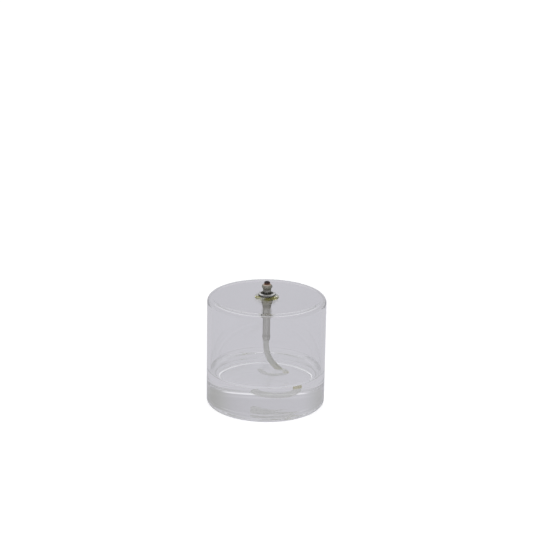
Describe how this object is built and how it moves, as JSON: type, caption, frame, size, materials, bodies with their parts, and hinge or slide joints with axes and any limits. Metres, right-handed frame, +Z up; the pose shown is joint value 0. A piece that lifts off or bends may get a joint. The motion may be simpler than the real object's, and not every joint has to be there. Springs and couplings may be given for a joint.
{
  "type": "refillable glass oil lamp",
  "caption": "Closed clear glass cylinder, part filled with lamp oil, and a lift-out metal burner whose fibreglass wick trails into the oil.",
  "frame": {"origin": "centre of the glass base, on the surface that the lamp stands on", "axes": "+Z up along the axis of the glass and of the burner; the free end of the wick first bends towards +X"},
  "size_m": [0.08, 0.08, 0.0862],
  "materials": {
    "clear_glass": "clear blown glass, polished, with a faint cool grey tint",
    "paraffin_oil": "clear colourless lamp oil",
    "amber_silicone": "translucent olive-amber silicone, satin",
    "satin_steel": "turned steel, satin, lightly tarnished",
    "nickel_plate": "nickel plate, warmed by heat near the mouth",
    "fibreglass_braid": "braided off-white glass fibre, soaked with oil, charred at the tip"
  },
  "bodies": {
    "glass": {"glass_body": "clear_glass", "lamp_oil": "paraffin_oil"},
    "seal": {"sealing_ring": "amber_silicone"},
    "burner": {"flange_dish": "satin_steel", "neck_collar": "satin_steel", "burner_head": "nickel_plate", "centring_cone": "satin_steel", "wick_tube": "satin_steel", "tube_ferrule": "nickel_plate"},
    "wick": {"wick_core": "fibreglass_braid", "wick_tail": "fibreglass_braid"}
  },
  "joints": [
    {"name": "burner_lift", "type": "slide", "parent": "glass", "child": "seal", "axis": [0, 0, 1], "range_m": [0, 0.032], "deforming": ["lamp_oil"]},
    {"name": "burner_turn", "type": "hinge", "parent": "seal", "child": "burner", "pos_m": [0, 0, 0.076], "axis": [0, 0, 1], "continuous": true, "deforming": ["lamp_oil"]},
    {"name": "wick_feed", "type": "slide", "parent": "burner", "child": "wick", "axis": [0, 0, 1], "range_m": [0, 0.0035], "deforming": ["lamp_oil"]}
  ]
}
